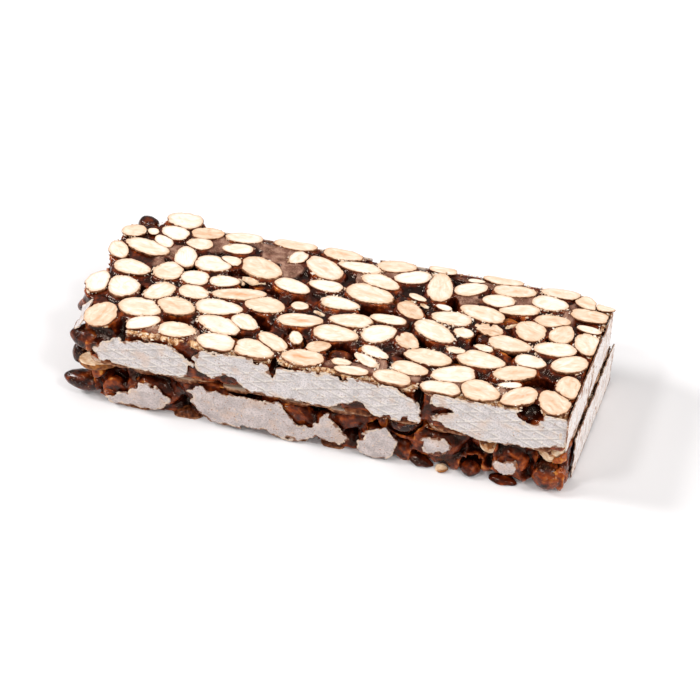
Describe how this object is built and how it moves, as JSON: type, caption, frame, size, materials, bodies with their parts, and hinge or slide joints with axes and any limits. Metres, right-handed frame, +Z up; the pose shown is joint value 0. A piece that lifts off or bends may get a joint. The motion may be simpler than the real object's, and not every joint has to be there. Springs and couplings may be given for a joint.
{
  "type": "nougat bar",
  "caption": "Long low bar of dark almond nougat, sawn level into two slices that lie on each other, with torn wafer sheets on the sides and whole almonds standing out.",
  "frame": {"origin": "on the surface the bar lies on, below the middle of its box", "axes": "+X along the bar towards its wafered end, +Y to the back, +Z up; the front with most of the torn wafer faces -Y"},
  "size_m": [0.2098, 0.082, 0.04],
  "materials": {
    "caramel": "hard dark caramel with almonds in it",
    "almond": "brown almond skin under glossy caramel",
    "wafer": "dry white edible wafer"
  },
  "bodies": {
    "root": {"lower_slice": "caramel", "upper_slice": "caramel", "upper_almond_front_left": "almond", "upper_almond_back_left": "almond", "upper_almond_left_1": "almond", "upper_almond_left_2": "almond", "upper_almond_left_3": "almond", "lower_almond_tip_left": "almond", "lower_almond_front_1": "almond", "lower_almond_front_2": "almond", "lower_almond_front_3": "almond", "lower_almond_front_4": "almond", "lower_almond_front_5": "almond", "lower_almond_front_6": "almond", "lower_almond_front_7": "almond", "lower_almond_front_8": "almond", "lower_almond_front_9": "almond", "lower_almond_front_10": "almond", "lower_almond_front_11": "almond", "lower_almond_front_12": "almond", "lower_almond_front_13": "almond", "lower_almond_front_14": "almond", "lower_almond_front_15": "almond", "lower_almond_corner": "almond", "lower_almond_corner_top": "almond", "lower_almond_left_1": "almond", "lower_almond_left_2": "almond", "lower_almond_left_3": "almond", "upper_wafer_front_1": "wafer", "upper_wafer_front_2": "wafer", "upper_wafer_front_3": "wafer", "lower_wafer_front_1": "wafer", "lower_wafer_front_2": "wafer", "lower_wafer_front_3": "wafer", "lower_wafer_front_4": "wafer", "lower_wafer_front_5": "wafer", "upper_wafer_end_1": "wafer", "upper_wafer_end_2": "wafer", "upper_wafer_corner": "wafer", "lower_wafer_end": "wafer", "upper_wafer_back_1": "wafer", "upper_wafer_back_2": "wafer", "lower_wafer_back_1": "wafer", "lower_wafer_back_2": "wafer"}
  },
  "joints": []
}
